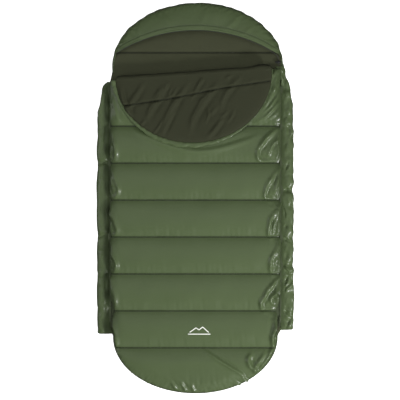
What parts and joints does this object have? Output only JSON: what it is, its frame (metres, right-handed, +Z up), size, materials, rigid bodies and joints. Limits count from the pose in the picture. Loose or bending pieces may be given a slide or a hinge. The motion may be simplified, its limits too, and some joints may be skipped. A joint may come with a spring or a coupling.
{
  "type": "bivy sleeping sack",
  "caption": "Quilted bivy-style sleeping sack with a hood, a fold-back cover zipped down both sides, and soft side wings.",
  "frame": {"origin": "on the ground, at the centre of the footprint", "axes": "+Y towards the hood, +X to the right of someone lying in it face up seen from above, +Z up"},
  "size_m": [1.056, 2.1, 0.109],
  "materials": {
    "shell_fabric": "satin coated nylon",
    "lining_fabric": "matt brushed",
    "wadding": "soft fibre",
    "print": "matt print",
    "cord": "braided",
    "cord_lock_plastic": "fine grain",
    "spring_steel": "drawn wire",
    "zip_tape": "twill tape",
    "zip_teeth": "nylon coil",
    "zip_metal": "dark nickel"
  },
  "bodies": {
    "bag_base": {"base_outer": "shell_fabric", "base_wadding": "wadding", "base_lining": "lining_fabric", "foot_outer": "shell_fabric", "foot_wadding": "wadding", "foot_lining": "lining_fabric", "front_badge": "print", "hood_outer": "shell_fabric", "hood_wadding": "wadding", "hood_lining": "lining_fabric", "hood_brim_hem": "shell_fabric", "hood_drawcord": "cord", "cord_lock_body": "cord_lock_plastic", "cord_lock_spring": "spring_steel", "left_zip_tape_base": "zip_tape", "left_zip_teeth_base": "zip_teeth", "left_zip_tape_foot": "zip_tape", "left_zip_teeth_foot": "zip_teeth", "left_zip_bottom_stop": "zip_metal", "right_zip_tape_base": "zip_tape", "right_zip_teeth_base": "zip_teeth", "right_zip_tape_foot": "zip_tape", "right_zip_teeth_foot": "zip_teeth", "right_zip_bottom_stop": "zip_metal"},
    "cover": {"cover_outer": "shell_fabric", "cover_wadding": "wadding", "cover_lining": "lining_fabric", "left_zip_tape_cover": "zip_tape", "left_zip_teeth_cover": "zip_teeth", "right_zip_tape_cover": "zip_tape", "right_zip_teeth_cover": "zip_teeth"},
    "flap": {"flap_outer": "shell_fabric", "flap_wadding": "wadding", "flap_lining": "lining_fabric", "flap_hem": "shell_fabric"},
    "cord_lock_button": {"cord_lock_plunger": "cord_lock_plastic"},
    "left_wing": {"left_wing_outer": "shell_fabric", "left_wing_wadding": "wadding"},
    "left_slider": {"left_zip_slider": "zip_metal"},
    "left_pull": {"left_zip_pull": "zip_metal"},
    "right_wing": {"right_wing_outer": "shell_fabric", "right_wing_wadding": "wadding"},
    "right_slider": {"right_zip_slider": "zip_metal"},
    "right_pull": {"right_zip_pull": "zip_metal"}
  },
  "joints": [
    {"name": "cover_fold", "type": "hinge", "parent": "bag_base", "child": "cover", "pos_m": [0, -0.605, 0.084], "axis": [1, 0, 0], "range_deg": [0, 170]},
    {"name": "flap_fold", "type": "hinge", "parent": "cover", "child": "flap", "pos_m": [0, 0.66, 0.0855], "axis": [-0.9974, -0.0715, 0], "range_deg": [0, 165]},
    {"name": "left_wing_fold", "type": "hinge", "parent": "bag_base", "child": "left_wing", "pos_m": [-0.472, -0.055, 0.037], "axis": [0, 1, 0], "range_deg": [0, 95]},
    {"name": "left_slider_slide", "type": "slide", "parent": "bag_base", "child": "left_slider", "axis": [0, 1, 0], "range_m": [0, 1.235]},
    {"name": "left_pull_swing", "type": "hinge", "parent": "left_slider", "child": "left_pull", "pos_m": [-0.452, -0.65, 0.0466], "axis": [-1, 0, 0], "range_deg": [0, 165]},
    {"name": "right_wing_fold", "type": "hinge", "parent": "bag_base", "child": "right_wing", "pos_m": [0.472, -0.01, 0.037], "axis": [0, -1, 0], "range_deg": [0, 95]},
    {"name": "right_slider_slide", "type": "slide", "parent": "bag_base", "child": "right_slider", "axis": [0, 1, 0], "range_m": [0, 1.235]},
    {"name": "right_pull_swing", "type": "hinge", "parent": "right_slider", "child": "right_pull", "pos_m": [0.452, -0.65, 0.0466], "axis": [-1, 0, 0], "range_deg": [0, 165]},
    {"name": "cord_lock_press", "type": "slide", "parent": "bag_base", "child": "cord_lock_button", "axis": [1, 0, 0], "range_m": [0, 0.0029], "deforming": ["cord_lock_spring"]}
  ]
}
